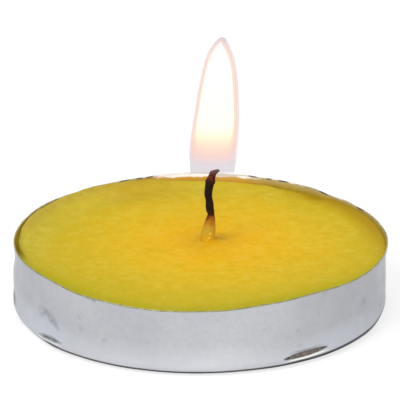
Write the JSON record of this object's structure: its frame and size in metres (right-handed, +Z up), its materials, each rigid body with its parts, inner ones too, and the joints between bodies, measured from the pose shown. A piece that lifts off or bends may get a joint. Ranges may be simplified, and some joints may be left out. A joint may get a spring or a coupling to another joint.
{
  "type": "tea light candle",
  "caption": "Lit tea light candle: round shallow aluminium cup of pale yellow wax, with a charred hooked wick and its flame.",
  "frame": {"origin": "centre of the cup, at the level of the surface that its foot ring stands on", "axes": "+Z up along the cup's axis, -Y towards the viewer of the picture, +X to the viewer's right"},
  "size_m": [0.0384, 0.0384, 0.0283],
  "materials": {
    "foil": "bright drawn foil with fine rubs and small dents",
    "wax": "set paraffin wax, slightly translucent, faintly mottled",
    "tinplate": "plain tinned steel",
    "wick_cotton": "braided cotton, waxed at the foot and charred above",
    "flame": "glowing gas, white core and faint rosy edge"
  },
  "bodies": {
    "root": {"cup": "foil", "wax": "wax", "wick_sustainer": "tinplate", "wick": "wick_cotton", "flame": "flame"}
  },
  "joints": []
}
